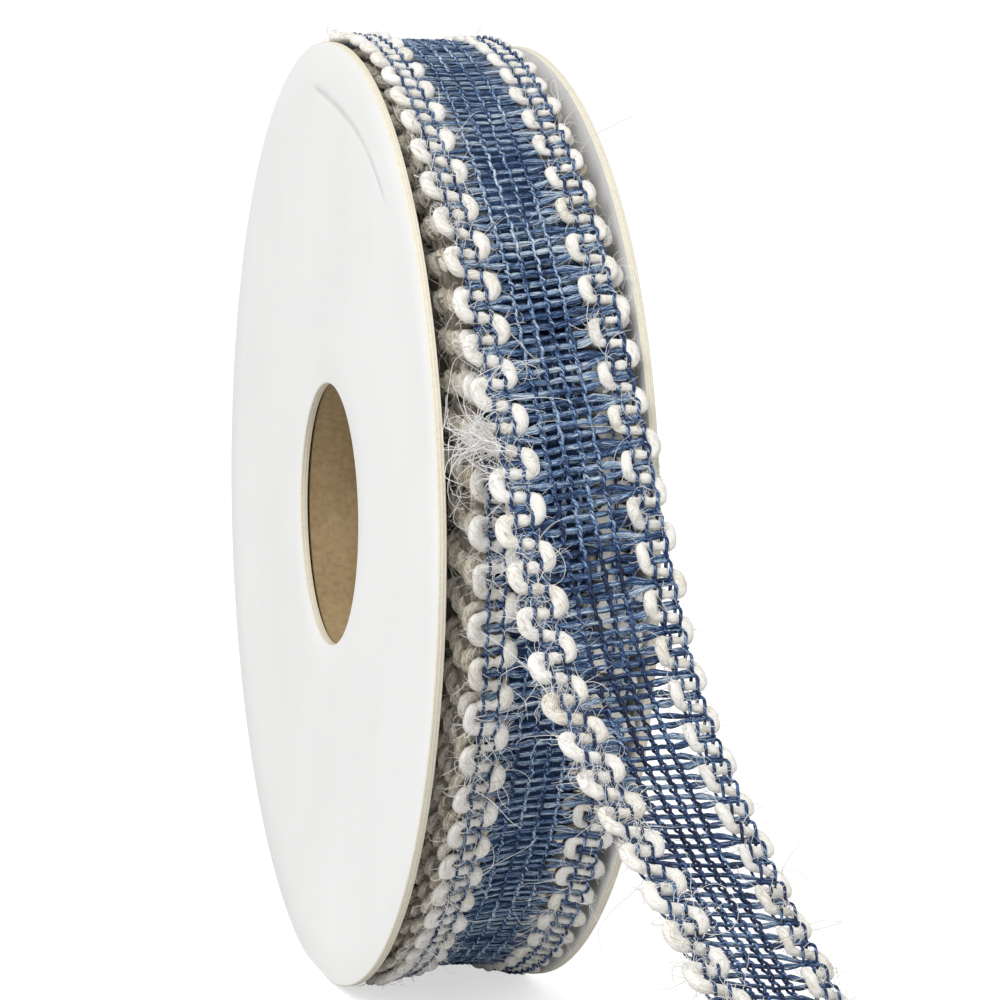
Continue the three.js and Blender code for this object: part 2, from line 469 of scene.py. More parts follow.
# Sweeps a flat oval section along curves, and notes where each point lies in its thread
def sweep(curves, radius, sides, flatness, thread):
    tree = curves.tree
    curves = store(curves, "thread", thread)
    curves = store(curves, "along", addNode(tree, "GeometryNodeSplineParameter", output="Length"))
    curves = addNode(tree, "GeometryNodeSetCurveNormal", {"Curve": curves}, mode="Z_UP")
    ring = addNode(tree, "GeometryNodeCurvePrimitiveCircle", {"Resolution": sides, "Radius": 1.0})
    ring = addNode(tree, "GeometryNodeTransform", {"Geometry": ring, "Rotation": (0, 0, math.pi / 2)})
    ring = store(ring, "section", pointPlace(tree), "FLOAT_VECTOR")
    flat = combine(tree, 1.0, flatness, 1.0)
    ring = addNode(tree, "GeometryNodeTransform", {"Geometry": ring, "Scale": flat})
    inputs = {"Curve": curves, "Profile Curve": ring, "Scale": radius, "Fill Caps": True}
    body = addNode(tree, "GeometryNodeCurveToMesh", inputs)
    x, y = split(stored(tree, "section", "FLOAT_VECTOR"))[:2]
    return store(body, "fibre", combine(tree, stored(tree, "along"), x, y), "FLOAT_VECTOR")


# The gauze: flat wefts of a few strands, and pairs of thin warps that cross at each weft
weave = {
    "shared": {"Pitch": 1.125, "Phase": 0.2, "Skew": 0.08, "Seed": 1.0},
    "wefts": {
        "Strands": 4, "Sides": 3, "Middle": 0.27, "Reach": 6.98, "Strand Gap": 0.122, "Half Width": 0.126,
        "Flatness": 0.8,
    },
    "warps": {"Steps": 4, "Radius": 0.19, "Swing": 0.1, "Lift": 0.13, "Arm Lift": 0.5},
    "warpFlatness": 0.85,
    "warpPlaces": (-6.7, -5.1, -2.45, -0.8, 0.8, 2.4, 5.55, 7.1),
    "edgeFrom": 4.5,
    "drumPicks": 290,
    "segments": 34,
    "backSegments": 24,
    "pinch": 0.3,  # how far to each side a pair of warps squeezes a weft
    "pairing": (3.0, 5.2, 1.0, 0.36),  # from the middle outwards the wefts draw together in pairs
    "fan": ((2.4, 3.1), (3.2, 4.8)),  # between these, from the middle, a weft's strands spread
    "tuck": (4.2, 5.0),  # and past this they lie closer
    "finer": (30.0, 70.0, 1.0, 0.82),  # over these wefts of the free end they become finer
    "dyeLength": 14.6,
    "dyeSpread": (0.3, 0.7),
    "weftDye": (0.26, 0.9),
    "warpDye": (0.4, 0.82),
    "edgeWarpDye": 0.34,
    "tailShadeDarker": 0.2,
    "weftsShadeDarken": (0.0, 30.0),  # painted shade: the free end's wefts are painted darker over these wefts of it
    "warpsShadeDarken": (10.0, 40.0),  # and painted shade on its warps over this run of it
}
pitch, phase = (weave["shared"][key] for key in ("Pitch", "Phase"))
drumStart = -weave["drumPicks"] * pitch + phase


def squeezed(across, width):
    return sum(hump(across, place, width) for place in weave["warpPlaces"])


def makeWeftTree():
    tree, given = startTree("Weft picks", {
        **weave["shared"], **weave["wefts"], "First Pick": 0, "Picks": 1, "Segments": 1, "Guide": None,
        "Material": None,
    })
    strands = given["Strands"]
    seed = given["Seed"]
    rows = addNode(tree, "GeometryNodeMeshLine", {"Count": given["Picks"] * strands})
    rows = store(rows, "strand", addNode(tree, "GeometryNodeInputIndex"))
    curves = copyOnto(rows, dividedLine(tree, (0, -1, 0), (0, 1, 0), given["Segments"] + 1))
    strand = stored(tree, "strand")
    row = maths("FLOOR", (strand + 0.5) / strands)
    pick = row + given["First Pick"]
    member = strand - row * strands - (strands - 1.0) * 0.5
    pair = maths("FLOOR", (pick + 1.0) * 0.5)
    own = pick + 0.5 - pair * 2.0  # half a pitch before or after the middle of its pair
    side = split(pointPlace(tree))[1]
    across = given["Middle"] + side * (given["Reach"] + (chance(strand, seed) - 0.4) * 0.3)
    away = maths("ABSOLUTE", across)
    yarnLength = (pick + side * own + 0.5) * weave["dyeLength"]
    dyed = noise(combine(tree, yarnLength, seed, 0.0), 0.022, 1.0)
    dyeAndShade = smoothStep(dyed, *weave["dyeSpread"], *weave["weftDye"])
    # Painted shade: the free end's wefts are painted darker, for the deeper shadows within its bundles.
    dyeAndShade = dyeAndShade - smoothStep(pick, *weave["weftsShadeDarken"], 0.0, weave["tailShadeDarker"])
    slub = noise(combine(tree, yarnLength, seed + 9.0, 0.0), 0.09)
    squeeze = squeezed(across, weave["pinch"])
    bow = noise(combine(tree, across * 0.55, pick * 3.7, seed)) - 0.5
    ownBow = noise(combine(tree, across * 0.9, strand * 5.3, seed)) - 0.5
    opened = smoothStep(away, *weave["pairing"])
    fan = band(away, *weave["fan"])
    tucked = smoothStep(away, *weave["tuck"])
    drawn = smoothStep(pick, *weave["finer"])
    gap = given["Strand Gap"] * (0.6 + slub * 0.9) * (1.0 - squeeze * 0.5)
    gap = gap * (1.0 + fan * 0.55 - tucked * 0.35) * drawn
    run = (pair * 2.0 + own * opened) * given["Pitch"] + given["Phase"]
    run = run + member * gap + bow * 0.34 * opened + ownBow * (0.16 + fan * 0.18) - across * given["Skew"]
    rounded = 1.0 - member * member * 0.3  # the middle strands of a pick stand a little above the outer ones
    height = 0.02 + rounded * 0.1 - squeeze * 0.08 + ownBow * 0.24
    curves = setPlace(curves, combine(tree, run, across, height))
    # Painted light: the raised middle strands are also painted a little paler than the outer ones.
    curves = store(curves, "tone", dyeAndShade + (chance(strand, seed + 4.0) - 0.6 + rounded * 0.2) * 0.54)
    radius = given["Half Width"] * (0.75 + slub * 0.6) * (1.0 - squeeze * 0.26) * drawn
    body = sweep(curves, radius, given["Sides"], given["Flatness"], strand)
    return endTree(tree, layDown(body, given["Guide"]), given["Material"])


# Each pair has one thread over every weft and one under it, and they change sides between wefts
def makeWarpTree():
    tree, given = startTree("Leno warps", {
        **weave["shared"], **weave["warps"], "Start": 0.0, "End": 1.0, "Sides": 3, "Guide": None,
        "Material": None,
    })
    seed = given["Seed"]
    length = given["End"] - given["Start"]
    count = maths("CEIL", length / given["Pitch"] * given["Steps"]) + 1.0
    line = dividedLine(tree, (0, 0, 0), (1, 0, 0), count)
    threads = []
    for number, place in enumerate(weave["warpPlaces"]):
        for over in (0.0, 1.0):
            thread = store(store(line, "place", place), "over", over)
            threads.append(store(thread, "threadNumber", number * 2 + over))
    curves = join(tree, threads)
    place, over, number = (stored(tree, label) for label in ("place", "over", "threadNumber"))
    edge = smoothStep(maths("ABSOLUTE", place), weave["edgeFrom"] - 0.1, weave["edgeFrom"] + 0.1)
    run = given["Start"] + length * addNode(tree, "GeometryNodeSplineParameter")
    pick = (run + place * given["Skew"] - given["Phase"]) / given["Pitch"] - 0.5
    swing = maths("COSINE", pick * math.pi)
    atPick = swing * swing
    atArm = 0.5 + 0.5 * maths("COSINE", (pick - 0.5) * math.pi)
    side = over * 2.0 - 1.0
    wander = noise(combine(tree, run * 0.12, number * 0.5 - over * 0.5, seed)) - 0.5
    own = noise(combine(tree, run * 0.5, number * 3.3, seed + 5.0)) - 0.5
    across = place + side * swing * given["Swing"] + wander * (0.4 - edge * 0.2) + own * 0.1
    lift = given["Radius"] * (0.5 + atPick * 0.5) + given["Lift"] * atPick  # a pair lies close between wefts
    lift = lift + edge * atArm * atArm * given["Arm Lift"]
    curves = setPlace(curves, combine(tree, run, across, side * lift + own * 0.05))
    dyed = noise(combine(tree, run * 0.13, number * 2.9, seed + 2.0))
    dyeAndShade = smoothStep(dyed, *weave["dyeSpread"], *weave["warpDye"])
    # Painted shade: the free end's warps are painted darker still.
    dyeAndShade = dyeAndShade - smoothStep(run, *weave["warpsShadeDarken"], 0.0, weave["tailShadeDarker"] * 2.0)
    curves = store(curves, "tone", dyeAndShade - edge * (dyeAndShade - weave["edgeWarpDye"]) * 0.7)
    radius = given["Radius"] * (0.95 + own * 0.4)
    body = sweep(curves, radius, given["Sides"], weave["warpFlatness"], number)
    return endTree(tree, layDown(body, given["Guide"]), given["Material"])


# Soft yarns that snake across the two edge pairs of warps, one arm between every two pairs of wefts
edgeYarn = {
    "shared": {
        "Period": 4.5, "Phase": 2.45, "Bunching": 0.36, "Slant": 0.5, "Flatness": 0.8, "Seed": 2.0,
        "Skew": weave["shared"]["Skew"],
    },
    "left": {"Centre": -6.05, "Swing": 1.75, "Radius": 0.64, "Number": 0.0},
    "right": {"Centre": 6.15, "Swing": 1.6, "Radius": 0.5, "Number": 1.0},
    "tail": {"Steps": 32, "Sides": 14},
    "drum": {"Steps": 26, "Sides": 10},
    # The lower turns' yarn is painted darker: painted shade for their place deep between winding and flange.
    "turnBelow": {"Steps": 14, "Sides": 7, "Painted Shade": 0.27},
    "pinch": 0.25,
    "overWefts": (0.82, 1.0),
    "tone": 0.54,
}
period = edgeYarn["shared"]["Period"]


def makeYarnTree():
    tree, given = startTree("Snaking yarn", {
        **edgeYarn["shared"], **edgeYarn["left"], **edgeYarn["tail"], "First Loop": 0, "Loops": 1,
        "Inward": 0.0, "Painted Shade": 0.0, "Guide": None, "Material": None,
    })
    number = given["Number"]
    seed = given["Seed"] + number * 11.0
    line = dividedLine(tree, (0, 0, 0), (1, 0, 0), given["Loops"] * given["Steps"] + 1.0)
    turns = given["First Loop"] + given["Loops"] * addNode(tree, "GeometryNodeSplineParameter")
    angle = turns * (2 * math.pi)
    swing = maths("COSINE", angle)

    def uneven(pace, offset):
        return noise(combine(tree, turns * pace, offset, seed)) - 0.5

    reach = given["Swing"] * (1.0 + uneven(1.9, 3.0) * 0.5)
    square = swing * (1.3 - swing * swing * 0.3)  # the bends are flatter than a plain wave's
    across = given["Centre"] + given["Inward"] * (1.0 - number * 2.0) - reach * square
    across = across + uneven(0.9, 8.0) * 0.5
    run = turns * given["Period"] + given["Phase"] + given["Bunching"] * maths("SINE", angle * 2.0)
    run = run - swing * given["Slant"] * (0.5 + uneven(1.1, 12.0) * 0.9) + uneven(1.6, 16.0) * 0.6
    run = run - given["Centre"] * given["Skew"]
    inner = 0.5 + swing * (number - 0.5)  # 1 where the yarn turns back over the wefts
    squeeze = squeezed(across, edgeYarn["pinch"])
    thick = (0.96 + swing * swing * 0.18) * (1.0 + uneven(2.6, 21.0) * 0.6)
    height = 0.06 + smoothStep(inner, *edgeYarn["overWefts"]) * 0.36
    height = height + uneven(3.1, 30.0) * 0.12 - squeeze * 0.06
    curves = setPlace(line, combine(tree, run, across, height))
    # Painted shade: the lower turns' yarn is made darker here, and their hairs take the same tone.
    curves = store(curves, "tone", edgeYarn["tone"] + uneven(0.8, 40.0) * 0.6 - given["Painted Shade"])
    curves = store(curves, "outer", 1.0 - inner)
    radius = given["Radius"] * thick * (1.0 - squeeze * 0.4)
    body = sweep(curves, radius, given["Sides"], given["Flatness"], number + given["First Loop"])
    flat = split(pointPlace(tree))
    for label, value in (("run", flat[0]), ("showing", flat[2]), ("edgeSide", number)):
        body = store(body, label, value)
    swell = centred(noise(pointPlace(tree), 1.3, 2.0, output=1))
    body = setPlace(body, scaled(swell, 0.28), "Offset")
    along, x, y = split(stored(tree, "fibre", "FLOAT_VECTOR"))
    ridges = noise(combine(tree, along * 1.3, x * 2.0, y * 2.0 + number * 5.0), 1.0, 2.0) - 0.5
    body = setPlace(body, scaled(addNode(tree, "GeometryNodeInputNormal"), ridges * 0.16), "Offset")
    return endTree(tree, layDown(body, given["Guide"]), given["Material"])


# Fine curled hairs that stand off a yarn's surface
hairs = {
    "shared": {
        "Outer Share": 0.5, "Right Share": 0.6, "Base Share": 1.0, "Inward": 0.0, "Right Inward": 0.0,
        "Tuft Run": 12.2, "Tuft Width": 2.0,
    },
    "fuzz": {"Density": 1.5, "Length": 1.2, "Radius": 0.03, "Curl": 1.6, "Segments": 3, "Tuft Share": 0.4},
    "curls": {
        "Density": 1.0, "Length": 3.0, "Radius": 0.037, "Curl": 3.4, "Segments": 8, "Tuft Share": 0.8,
        "Inward": -0.5, "Right Inward": -0.5,
    },
    "loops": {
        "Density": 0.09, "Length": 5.5, "Radius": 0.042, "Curl": 5.5, "Segments": 16, "Tuft Share": 2.0,
        "Right Inward": -0.5,
    },
    "strays": {
        "Density": 0.02, "Length": 4.5, "Radius": 0.042, "Curl": 2.4, "Segments": 12, "Tuft Share": 0.0,
        "Inward": 1.5, "Right Inward": -1.5, "Outer Share": -0.4,
    },
    "tuft": {
        "Density": 12.0, "Length": 5.0, "Radius": 0.05, "Curl": 3.8, "Segments": 14, "Base Share": 0.0,
        "Tuft Share": 1.0, "Inward": -1.6,
    },
    "turnFuzz": {
        "Density": 1.3, "Length": 2.2, "Radius": 0.034, "Curl": 2.8, "Segments": 5, "Tuft Share": 0.0,
        "Outer Share": 1.0,
    },
    "tuftOuter": (0.6, 0.95),
    "tuftLonger": 0.6,
    "tuftOutward": 1.3,
    # the tuft's hairs are painted paler than the yarn's other hairs: painted light against the shade they
    # cast on one another
    "tuftPaintedLight": 0.6,
    "rightInner": 1.6,  # past 1, most hairs on the right stand off the inner bends
    "patches": (0.35, 0.6, 0.6, 1.5),
    "showing": (-0.3, 0.15),  # below this height the yarn is hidden and grows none
    "behind": ((0.06, 0.14), (0.72, 0.8)),
    "backShare": 0.1,
    "backShorter": 0.65,
    "splay": 1.1,
    "kink": 0.6,
    "betweenFlanges": 9.3,
    "spread": 0.5,  # how much further out hairs may reach for each millimetre past the rims
}


def makeHairTree():
    tree, given = startTree("Loose hairs", {
        **hairs["shared"], **hairs["fuzz"], "Seed": 1, "Surface": None, "Material": None,
    })
    run, outer, edgeSide, tone, showing, onTuft = (
        stored(tree, label) for label in ("run", "outer", "edgeSide", "tone", "showing", "tuft")
    )
    gap = (run - given["Tuft Run"]) / given["Tuft Width"]
    tuft = maths("EXPONENT", gap * gap * -1.0) * (1.0 - edgeSide) * smoothStep(outer, *hairs["tuftOuter"])
    sideShare = 1.0 + (given["Right Share"] - 1.0) * edgeSide
    patches = smoothStep(noise(combine(tree, run * 0.09, edgeSide * 5.0, 3.0)), *hairs["patches"])
    outerShare = given["Outer Share"] * (1.0 - edgeSide * hairs["rightInner"])
    share = sideShare * patches * (1.0 - outerShare + outerShare * outer * 1.8)
    turn = maths("FRACT", run * (-1 / turnLength))  # 0 in front, where the free end lifts off
    behind = band(turn, *hairs["behind"]) * maths("LESS_THAN", run, 0.0)
    share = share * (1.0 - behind * (1.0 - hairs["backShare"]))
    share = share * given["Base Share"] + tuft * given["Tuft Share"]
    share = share * smoothStep(showing, *hairs["showing"])
    density = given["Density"] * share * 1e6
    inputs = {"Mesh": objectShape(given["Surface"]), "Density": density, "Seed": given["Seed"]}
    points, normal = addNode(tree, "GeometryNodeDistributePointsOnFaces", inputs, output=("Points", "Normal"))
    points = store(points, "hair", addNode(tree, "GeometryNodeInputIndex"))
    points = store(points, "root", pointPlace(tree), "FLOAT_VECTOR")
    points = store(points, "axis", normal, "FLOAT_VECTOR")
    points = store(points, "tuft", tuft)
    points = store(points, "shorter", behind * hairs["backShorter"])
    # Painted light: the tuft's hairs are made paler here.
    points = store(points, "tone", tone + onTuft * hairs["tuftPaintedLight"])
    curves = copyOnto(points, dividedLine(tree, (0, 0, 0), (0, 0, 1), given["Segments"]))
    number = stored(tree, "hair")
    luck = chance(number, 1.0)
    length = given["Length"] * mm * (0.4 + luck * luck * 1.5) * (1.0 + onTuft * hairs["tuftLonger"])
    length = length * (1.0 - stored(tree, "shorter"))
    share = addNode(tree, "GeometryNodeSplineParameter")
    bend = given["Curl"] * (0.25 + chance(number, 2.0))
    angle = share * bend
    ahead = maths("SINE", angle) / bend * length
    aside = (1.0 - maths("COSINE", angle)) / bend * length
    leaning = vectorMaths("NORMALIZE", centred(chance(number, 3.0, output=1)))
    heading = stored(tree, "axis", "FLOAT_VECTOR")
    heading = stepped(heading, centred(chance(number, 6.0, output=1)), hairs["splay"])
    sideways = given["Inward"] + (given["Right Inward"] - given["Inward"]) * edgeSide
    sideways = sideways - onTuft * hairs["tuftOutward"]
    heading = vectorMaths("NORMALIZE", vectorMaths("ADD", heading, combine(tree, sideways, 0.0, 0.0)))
    place = stepped(stored(tree, "root", "FLOAT_VECTOR"), heading, ahead)
    kink = centred(noise(combine(tree, share * 1.5, number * 3.1, 4.0), output=1))
    place = stepped(stepped(place, leaning, aside), kink, share * length * hairs["kink"])
    x, y, z = split(place)
    backward, upward = y - axle.y, z - axle.z
    pastRims = maths("SQRT", backward * backward + upward * upward) - reel["flangeRadius"] * mm
    limit = hairs["betweenFlanges"] * mm + maths("MAXIMUM", pastRims, 0.0) * hairs["spread"]
    limit = limit * (0.93 + luck * 0.07)
    x = maths("MINIMUM", maths("MAXIMUM", x, axle.x - limit), axle.x + limit)
    place = combine(tree, x, y, maths("MAXIMUM", z, winding["floorGap"] * mm))
    ring = addNode(tree, "GeometryNodeCurvePrimitiveCircle", {"Resolution": 3, "Radius": 1.0})
    radius = given["Radius"] * mm * (1.0 - share * 0.5) * (0.7 + chance(number, 5.0) * 0.6)
    inputs = {"Curve": setPlace(curves, place), "Profile Curve": ring, "Scale": radius}
    return endTree(tree, addNode(tree, "GeometryNodeCurveToMesh", inputs), given["Material"])


# Finishes
def startMaterial(name, **settings):
    material = bpy.data.materials.new(name)
    material.use_nodes = True
    tree = material.node_tree
    shader = tree.nodes["Principled BSDF"]
    for label, value in settings.items():
        shader.inputs[label.replace("_", " ")].default_value = value
    return material, tree, shader


def attribute(tree, name, output="Fac"):
    return addNode(tree, "ShaderNodeAttribute", output=output, attribute_name=name)


def objectPlace(tree):
    return addNode(tree, "ShaderNodeTexCoord", output="Object")


def hexColour(text):
    shades = [int(text[i:i + 2], 16) / 255 for i in (0, 2, 4)]
    return (*(s / 12.92 if s <= 0.04045 else ((s + 0.055) / 1.055) ** 2.4 for s in shades), 1.0)


def ramp(factor, stops):
    node = factor.tree.nodes.new("ShaderNodeValToRGB")
    plug(factor, node.inputs[0])
    elements = node.color_ramp.elements
    while len(elements) < len(stops):
        elements.new(0.5)
    for element, (position, colour) in zip(elements, stops):
        element.position = position
        element.color = hexColour(colour)
    return Wire(factor.tree, node.outputs[0])


def mixColour(factor, first, second):
    return addNode(factor.tree, "ShaderNodeMix", {0: factor, 6: first, 7: second}, output=2, data_type="RGBA")


def bumpNormal(height, distance):
    inputs = {"Height": height, "Distance": distance * mm, "Strength": 1.0}
    return addNode(height.tree, "ShaderNodeBump", inputs)


def startShaderGroup(name, inputs, outputs):
    tree = bpy.data.node_groups.new(name, "ShaderNodeTree")
    for label, kind in inputs.items():
        addSocket(tree, label, kind)
    for label in outputs:
        addSocket(tree, label, "Float", "OUTPUT")
    return tree, givenTo(tree)


def endShaderGroup(tree, outputs):
    target = tree.nodes.new("NodeGroupOutput")
    for label, value in outputs.items():
        plug(value, target.inputs[label])
    return tree


# Fine fibres that run round a thread as it is twisted, in turns of so many radians a millimetre
def makeFibreGroup():
    inputs = {"Fibre": "Vector", "Thread": "Float", "Twist": "Float", "Fineness": "Float", "Stretch": "Float"}
    tree, given = startShaderGroup("Thread fibres", inputs, ("Streaks", "Height"))
    along, x, y = split(given["Fibre"])
    angle = along * given["Twist"]
    turnedX = x * maths("COSINE", angle) - y * maths("SINE", angle)
    turnedY = x * maths("SINE", angle) + y * maths("COSINE", angle)
    start = given["Thread"] * 7.7
    fine = given["Fineness"]
    streaks = noise(combine(tree, along / given["Stretch"], turnedX * fine + start, turnedY * fine), 1.0, 2.0)
    coarse = noise(combine(tree, along * 0.8, turnedX * 1.4 + start, turnedY * 1.4), 1.0, 1.0)
    mixed = smoothStep(streaks * 0.75 + coarse * 0.25, 0.32, 0.68)
    return endShaderGroup(tree, {"Streaks": mixed, "Height": streaks * 0.6 + coarse * 0.4})


fibreGroup = makeFibreGroup()
threadLooks = {
    "blueHemp": {
        "colours": [
            (0.0, "0b1a38"), (0.25, "21427a"), (0.45, "446ca0"), (0.6, "799bc0"), (0.8, "b1c8dc"),
            (1.0, "e0e9ef"),
        ],
        "fibres": {"Twist": 1.0, "Fineness": 4.4, "Stretch": 1.6},
        "streakShare": 0.95, "litFaceShare": 0.16, "bump": 0.09,
        "shader": {"Roughness": 0.42, "Sheen_Weight": 0.05, "Specular_IOR_Level": 0.35},
    },
    "navyThread": {
        "colours": [(0.0, "0a1530"), (0.3, "1a3160"), (0.5, "36598c"), (0.7, "7b9cc0"), (1.0, "c4d4e2")],
        "fibres": {"Twist": 5.0, "Fineness": 1.0, "Stretch": 5.0},
        "streakShare": 1.0, "litFaceShare": 0.1, "bump": 0.08,
        "shader": {"Roughness": 0.45, "Specular_IOR_Level": 0.35},
    },
    "ivoryYarn": {
        "colours": [(0.0, "9e8e70"), (0.25, "d5ccb8"), (0.45, "eae6dc"), (0.65, "f5f3ee"), (1.0, "fcfbf9")],
        "fibres": {"Twist": 0.8, "Fineness": 6.0, "Stretch": 0.5},
        "streakShare": 0.5, "litFaceShare": 0.0, "bump": 0.12,
        "shader": {"Roughness": 0.75, "Sheen_Weight": 0.3},
    },
    "hairFibre": {
        "colours": [(0.0, "a0947f"), (0.3, "cfc9bc"), (0.5, "f0eeea"), (1.0, "fbfaf8")],
        "fibres": {"Twist": 0.0, "Fineness": 1.0, "Stretch": 1.0},
        "streakShare": 0.3, "litFaceShare": 0.0, "bump": 0.01,
        "shader": {"Roughness": 0.5},
    },
}


def makeThreadMaterial(name):
    look = threadLooks[name]
    material, tree, shader = startMaterial(name, **look["shader"])
    fibre = attribute(tree, "fibre", "Vector")
    inputs = {"Fibre": fibre, "Thread": attribute(tree, "thread"), **look["fibres"]}
    outputs = ("Streaks", "Height")
    streaks, height = addNode(tree, "ShaderNodeGroup", inputs, output=outputs, node_tree=fibreGroup)
    tone = attribute(tree, "tone") + (streaks - 0.5) * look["streakShare"]
    if look["litFaceShare"]:
        tone = tone + split(fibre)[2] * look["litFaceShare"]  # painted light: a thread's outer face is painted paler than its sides, as if lit from outside
    plug(ramp(tone, look["colours"]), shader.inputs["Base Color"])
    plug(bumpNormal(height, look["bump"]), shader.inputs["Normal"])
    rough = look["shader"]["Roughness"]
    plug(smoothStep(streaks, 0.0, 1.0, rough + 0.1, rough - 0.1), shader.inputs["Roughness"])
    return material


blueHemp, navyThread, ivoryYarn, hairFibre = (makeThreadMaterial(name) for name in threadLooks)
print("thread finishes made")


# Weave. Each tree holds the settings that its pieces share, so a piece is given only its own.
def addWefts(name, firstPick, picks, segments):
    return growPiece(name, weftTree, {
        "First Pick": firstPick, "Picks": picks, "Segments": segments, "Guide": ribbonGuide,
        "Material": blueHemp,
    })


def addWarps(name, start, end, sides):
    return growPiece(name, warpTree, {
        "Start": start, "End": end, "Sides": sides, "Guide": ribbonGuide, "Material": navyThread,
    })


def addYarn(name, side, firstLoop, loops, fineness, inward=0.0):
    return growPiece(name, yarnTree, {
        "First Loop": firstLoop, "Loops": loops, "Inward": inward, **edgeYarn[side], **edgeYarn[fineness],
        "Guide": ribbonGuide, "Material": ivoryYarn,
    })


def addHairs(name, kind, surface, seed):
    return growPiece(name, hairTree, {"Surface": surface, "Seed": seed, "Material": hairFibre, **hairs[kind]})


weftTree = makeWeftTree()
warpTree = makeWarpTree()
yarnTree = makeYarnTree()
hairTree = makeHairTree()
tailPicks = int((tailLength - phase) / pitch)
tailLoops = int((tailLength - 2.0 - edgeYarn["shared"]["Phase"]) / period)
drumLoops = int(-(drumStart - edgeYarn["shared"]["Phase"]) / period)
drumPicks = weave["drumPicks"]
half = drumPicks // 2

tailPieces = {
    "tailWefts": addWefts("tailWefts", 0, tailPicks, weave["segments"]),
    "tailWarps": addWarps("tailWarps", 0.0, tailLength, 4),
    "tailYarnLeft": addYarn("tailYarnLeft", "left", 0, tailLoops, "tail"),
    "tailYarnRight": addYarn("tailYarnRight", "right", 0, tailLoops, "tail"),
}
drumPieces = {
    "drumWeftsFront": addWefts("drumWeftsFront", -half, half, weave["segments"]),
    "drumWeftsBack": addWefts("drumWeftsBack", -drumPicks, drumPicks - half, weave["backSegments"]),
    "drumWarps": addWarps("drumWarps", drumStart, 0.0, 3),
    "drumYarnLeft": addYarn("drumYarnLeft", "left", -drumLoops, drumLoops, "drum"),
    "drumYarnRight": addYarn("drumYarnRight", "right", -drumLoops, drumLoops, "drum"),
}
for pieces, place in ((tailPieces, "tail"), (drumPieces, "drum")):
    for number, side in enumerate(("Left", "Right")):
        for kind in ("fuzz", "curls", "loops", "strays"):
            name = place + side + kind.capitalize()
            pieces[name] = addHairs(name, kind, pieces[place + "Yarn" + side], number + 1)
tailPieces["tailTuft"] = addHairs("tailTuft", "tuft", tailPieces["tailYarnLeft"], 5)
print("outer turn and free end woven")


# The turns below: a few rows of edge loops at each side, and one plain body for all the rest
below = {
    "bodySteps": 300,
    "topPoints": 13,
    "rowsPerTurn": 3,
    "firstRow": 0.25,
    "sideStart": 1.1,
    "fineTurns": 5,
    "coarseTurn": 1.6,
    "halfWidth": 7.1,
    "sideRelief": 0.3,
    "sideSwell": 0.2,
    "clearance": 0.5,
    "floorGap": 0.3,
    "stepGap": 0.006,
    "edgeTones": (1.0, 0.9, 0.3),  # from each edge of the top inwards, and 0 further in
    "loopsInward": {  # how far in the loops of each turn lie
        "left": (0.45, 0.2, 0.0, -0.1),
        "right": (0.5, 0.5),
    },
}


def addMesh(name, points, faces, material, closed=True):
    mesh = bpy.data.meshes.new(name)
    mesh.from_pydata(np.array(points).tolist(), [], faces)
    mesh.materials.append(material)
    if closed:
        shape = bmesh.new()
        shape.from_mesh(mesh)
        bmesh.ops.recalc_face_normals(shape, faces=shape.faces)
        shape.to_mesh(mesh)
        shape.free()
        mesh.shade_smooth()
    return addObject(name, mesh)


def ringFaces(rows, columns):
    faces = []
    for i in range(rows):
        here, ahead = i * columns, (i + 1) % rows * columns
        for j in range(columns):
            k = (j + 1) % columns
            faces.append((here + j, ahead + j, ahead + k, here + k))
    return faces


def woundMaterial():
    material, tree, shader = startMaterial("woundTurns", Roughness=0.7)
    run, across, edge, depth = (attribute(tree, label) for label in ("run", "across", "edge", "depth"))
    rows = maths("SINE", run * (2 * math.pi / pitch))
    threads = noise(combine(tree, run * 0.9, across * 5.0, 0.0), 1.0, 3.0)
    blues = [(0.15, "1c2d50"), (0.4, "3a5685"), (0.6, "6583ad"), (0.8, "a9b8c6")]
    beiges = [(0.28, "7a6e5c"), (0.42, "c9bda8"), (0.58, "e8dcc8"), (0.8, "f8f1e4")]
    frayed = noise(combine(tree, run * 1.1, depth * 2.4, across * 0.3), 1.0, 4.0)
    woven = ramp(threads * 0.75 + rows * 0.1, blues)
    plug(mixColour(smoothStep(edge, 0.2, 0.8), woven, ramp(frayed, beiges)), shader.inputs["Base Color"])
    plug(bumpNormal(threads + rows * 0.2 + frayed * edge * 2.0, 0.25), shader.inputs["Normal"])
    return material


